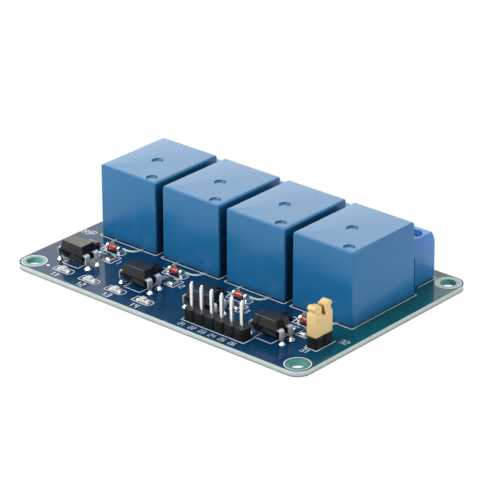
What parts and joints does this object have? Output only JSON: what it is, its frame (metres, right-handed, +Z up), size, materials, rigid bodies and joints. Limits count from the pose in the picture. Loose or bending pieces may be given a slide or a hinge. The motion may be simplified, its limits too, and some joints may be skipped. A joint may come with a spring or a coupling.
{
  "type": "relay module board",
  "caption": "Relay module board: sealed relays, rising-cage screw terminals, optocouplers, an input pin header and a jumper cap on a blue circuit board with isolation slots.",
  "frame": {"origin": "centre of the four mounting holes on the board's underside", "axes": "+X along the board's long side, +Y towards the screw terminals, +Z up through the relays"},
  "size_m": [0.075, 0.051, 0.0185],
  "materials": {
    "solder_mask": "glossy",
    "relay_case": "satin",
    "terminal_plastic": "satin",
    "dark_plastic": "matte",
    "base_plastic": "matte",
    "bobbin_plastic": "matte",
    "jumper_plastic": "satin",
    "copper_wire": "satin",
    "plated_steel": "satin",
    "magnet_iron": "satin",
    "contact_brass": "satin",
    "tinned_metal": "glossy",
    "clear_glass": "glossy",
    "lamp_resin": "glossy",
    "chip_ceramic": "matte"
  },
  "bodies": {
    "board": {"circuit_board": "solder_mask", "chip_resistors": "chip_ceramic", "diode_caps": "tinned_metal", "diode_glasses": "clear_glass", "header_pins": "tinned_metal", "indicator_lamps": "lamp_resin", "input_header_base": "dark_plastic", "jumper_header_base": "dark_plastic", "optocoupler_bodies": "dark_plastic", "optocoupler_leads": "tinned_metal", "relay_bases": "base_plastic", "relay_bobbins": "bobbin_plastic", "relay_cores": "magnet_iron", "relay_cover_1": "relay_case", "relay_cover_2": "relay_case", "relay_cover_3": "relay_case", "relay_cover_4": "relay_case", "relay_terminals": "tinned_metal", "relay_windings": "copper_wire", "relay_yokes": "magnet_iron", "terminal_contacts": "contact_brass", "terminal_housing_1": "terminal_plastic", "terminal_housing_2": "terminal_plastic", "terminal_housing_3": "terminal_plastic", "terminal_housing_4": "terminal_plastic", "transistors": "dark_plastic"},
    "armature_1": {"relay_armature_1": "magnet_iron", "relay_contact_spring_1": "contact_brass"},
    "armature_2": {"relay_armature_2": "magnet_iron", "relay_contact_spring_2": "contact_brass"},
    "armature_3": {"relay_armature_3": "magnet_iron", "relay_contact_spring_3": "contact_brass"},
    "armature_4": {"relay_armature_4": "magnet_iron", "relay_contact_spring_4": "contact_brass"},
    "screw_1": {"clamp_screw_1": "plated_steel"},
    "cage_1": {"clamp_cage_1": "plated_steel"},
    "screw_2": {"clamp_screw_2": "plated_steel"},
    "cage_2": {"clamp_cage_2": "plated_steel"},
    "screw_3": {"clamp_screw_3": "plated_steel"},
    "cage_3": {"clamp_cage_3": "plated_steel"},
    "screw_4": {"clamp_screw_4": "plated_steel"},
    "cage_4": {"clamp_cage_4": "plated_steel"},
    "screw_5": {"clamp_screw_5": "plated_steel"},
    "cage_5": {"clamp_cage_5": "plated_steel"},
    "screw_6": {"clamp_screw_6": "plated_steel"},
    "cage_6": {"clamp_cage_6": "plated_steel"},
    "screw_7": {"clamp_screw_7": "plated_steel"},
    "cage_7": {"clamp_cage_7": "plated_steel"},
    "screw_8": {"clamp_screw_8": "plated_steel"},
    "cage_8": {"clamp_cage_8": "plated_steel"},
    "screw_9": {"clamp_screw_9": "plated_steel"},
    "cage_9": {"clamp_cage_9": "plated_steel"},
    "screw_10": {"clamp_screw_10": "plated_steel"},
    "cage_10": {"clamp_cage_10": "plated_steel"},
    "screw_11": {"clamp_screw_11": "plated_steel"},
    "cage_11": {"clamp_cage_11": "plated_steel"},
    "screw_12": {"clamp_screw_12": "plated_steel"},
    "cage_12": {"clamp_cage_12": "plated_steel"},
    "jumper": {"jumper_cap": "jumper_plastic", "jumper_clip": "contact_brass"}
  },
  "joints": [
    {"name": "armature_1_pull", "type": "hinge", "parent": "board", "child": "armature_1", "pos_m": [-0.0254, -0.00215, 0.01245], "axis": [-1, 0, 0], "range_deg": [0, 2.5], "stiffness_Nm_per_rad": 0.02, "springref_deg": -5.16},
    {"name": "armature_2_pull", "type": "hinge", "parent": "board", "child": "armature_2", "pos_m": [-0.00847, -0.00215, 0.01245], "axis": [-1, 0, 0], "range_deg": [0, 2.5], "stiffness_Nm_per_rad": 0.02, "springref_deg": -5.16},
    {"name": "armature_3_pull", "type": "hinge", "parent": "board", "child": "armature_3", "pos_m": [0.00847, -0.00215, 0.01245], "axis": [-1, 0, 0], "range_deg": [0, 2.5], "stiffness_Nm_per_rad": 0.02, "springref_deg": -5.16},
    {"name": "armature_4_pull", "type": "hinge", "parent": "board", "child": "armature_4", "pos_m": [0.0254, -0.00215, 0.01245], "axis": [-1, 0, 0], "range_deg": [0, 2.5], "stiffness_Nm_per_rad": 0.02, "springref_deg": -5.16},
    {"name": "screw_1_turn", "type": "hinge", "parent": "board", "child": "screw_1", "pos_m": [-0.02833, 0.0189, 0.0092], "axis": [0, 0, -1], "range_deg": [0, 1600.1]},
    {"name": "cage_1_lift", "type": "slide", "parent": "board", "child": "cage_1", "axis": [0, 0, 1], "range_m": [0, 0.002]},
    {"name": "screw_2_turn", "type": "hinge", "parent": "board", "child": "screw_2", "pos_m": [-0.02325, 0.0189, 0.0092], "axis": [0, 0, -1], "range_deg": [0, 1600.1]},
    {"name": "cage_2_lift", "type": "slide", "parent": "board", "child": "cage_2", "axis": [0, 0, 1], "range_m": [0, 0.002]},
    {"name": "screw_3_turn", "type": "hinge", "parent": "board", "child": "screw_3", "pos_m": [-0.01817, 0.0189, 0.0092], "axis": [0, 0, -1], "range_deg": [0, 1600.1]},
    {"name": "cage_3_lift", "type": "slide", "parent": "board", "child": "cage_3", "axis": [0, 0, 1], "range_m": [0, 0.002]},
    {"name": "screw_4_turn", "type": "hinge", "parent": "board", "child": "screw_4", "pos_m": [-0.01283, 0.0189, 0.0092], "axis": [0, 0, -1], "range_deg": [0, 1600.1]},
    {"name": "cage_4_lift", "type": "slide", "parent": "board", "child": "cage_4", "axis": [0, 0, 1], "range_m": [0, 0.002]},
    {"name": "screw_5_turn", "type": "hinge", "parent": "board", "child": "screw_5", "pos_m": [-0.00775, 0.0189, 0.0092], "axis": [0, 0, -1], "range_deg": [0, 1600.1]},
    {"name": "cage_5_lift", "type": "slide", "parent": "board", "child": "cage_5", "axis": [0, 0, 1], "range_m": [0, 0.002]},
    {"name": "screw_6_turn", "type": "hinge", "parent": "board", "child": "screw_6", "pos_m": [-0.00267, 0.0189, 0.0092], "axis": [0, 0, -1], "range_deg": [0, 1600.1]},
    {"name": "cage_6_lift", "type": "slide", "parent": "board", "child": "cage_6", "axis": [0, 0, 1], "range_m": [0, 0.002]},
    {"name": "screw_7_turn", "type": "hinge", "parent": "board", "child": "screw_7", "pos_m": [0.00267, 0.0189, 0.0092], "axis": [0, 0, -1], "range_deg": [0, 1600.1]},
    {"name": "cage_7_lift", "type": "slide", "parent": "board", "child": "cage_7", "axis": [0, 0, 1], "range_m": [0, 0.002]},
    {"name": "screw_8_turn", "type": "hinge", "parent": "board", "child": "screw_8", "pos_m": [0.00775, 0.0189, 0.0092], "axis": [0, 0, -1], "range_deg": [0, 1600.1]},
    {"name": "cage_8_lift", "type": "slide", "parent": "board", "child": "cage_8", "axis": [0, 0, 1], "range_m": [0, 0.002]},
    {"name": "screw_9_turn", "type": "hinge", "parent": "board", "child": "screw_9", "pos_m": [0.01283, 0.0189, 0.0092], "axis": [0, 0, -1], "range_deg": [0, 1600.1]},
    {"name": "cage_9_lift", "type": "slide", "parent": "board", "child": "cage_9", "axis": [0, 0, 1], "range_m": [0, 0.002]},
    {"name": "screw_10_turn", "type": "hinge", "parent": "board", "child": "screw_10", "pos_m": [0.01817, 0.0189, 0.0092], "axis": [0, 0, -1], "range_deg": [0, 1600.1]},
    {"name": "cage_10_lift", "type": "slide", "parent": "board", "child": "cage_10", "axis": [0, 0, 1], "range_m": [0, 0.002]},
    {"name": "screw_11_turn", "type": "hinge", "parent": "board", "child": "screw_11", "pos_m": [0.02325, 0.0189, 0.0092], "axis": [0, 0, -1], "range_deg": [0, 1600.1]},
    {"name": "cage_11_lift", "type": "slide", "parent": "board", "child": "cage_11", "axis": [0, 0, 1], "range_m": [0, 0.002]},
    {"name": "screw_12_turn", "type": "hinge", "parent": "board", "child": "screw_12", "pos_m": [0.02833, 0.0189, 0.0092], "axis": [0, 0, -1], "range_deg": [0, 1600.1]},
    {"name": "cage_12_lift", "type": "slide", "parent": "board", "child": "cage_12", "axis": [0, 0, 1], "range_m": [0, 0.002]},
    {"name": "jumper_pull", "type": "slide", "parent": "board", "child": "jumper", "axis": [0, 0, 1], "range_m": [0, 0.0055]}
  ],
  "couplings": [
    {"joint": "screw_1_turn", "follows": "cage_1_lift", "rad_per_m": 13963},
    {"joint": "screw_2_turn", "follows": "cage_2_lift", "rad_per_m": 13963},
    {"joint": "screw_3_turn", "follows": "cage_3_lift", "rad_per_m": 13963},
    {"joint": "screw_4_turn", "follows": "cage_4_lift", "rad_per_m": 13963},
    {"joint": "screw_5_turn", "follows": "cage_5_lift", "rad_per_m": 13963},
    {"joint": "screw_6_turn", "follows": "cage_6_lift", "rad_per_m": 13963},
    {"joint": "screw_7_turn", "follows": "cage_7_lift", "rad_per_m": 13963},
    {"joint": "screw_8_turn", "follows": "cage_8_lift", "rad_per_m": 13963},
    {"joint": "screw_9_turn", "follows": "cage_9_lift", "rad_per_m": 13963},
    {"joint": "screw_10_turn", "follows": "cage_10_lift", "rad_per_m": 13963},
    {"joint": "screw_11_turn", "follows": "cage_11_lift", "rad_per_m": 13963},
    {"joint": "screw_12_turn", "follows": "cage_12_lift", "rad_per_m": 13963}
  ]
}
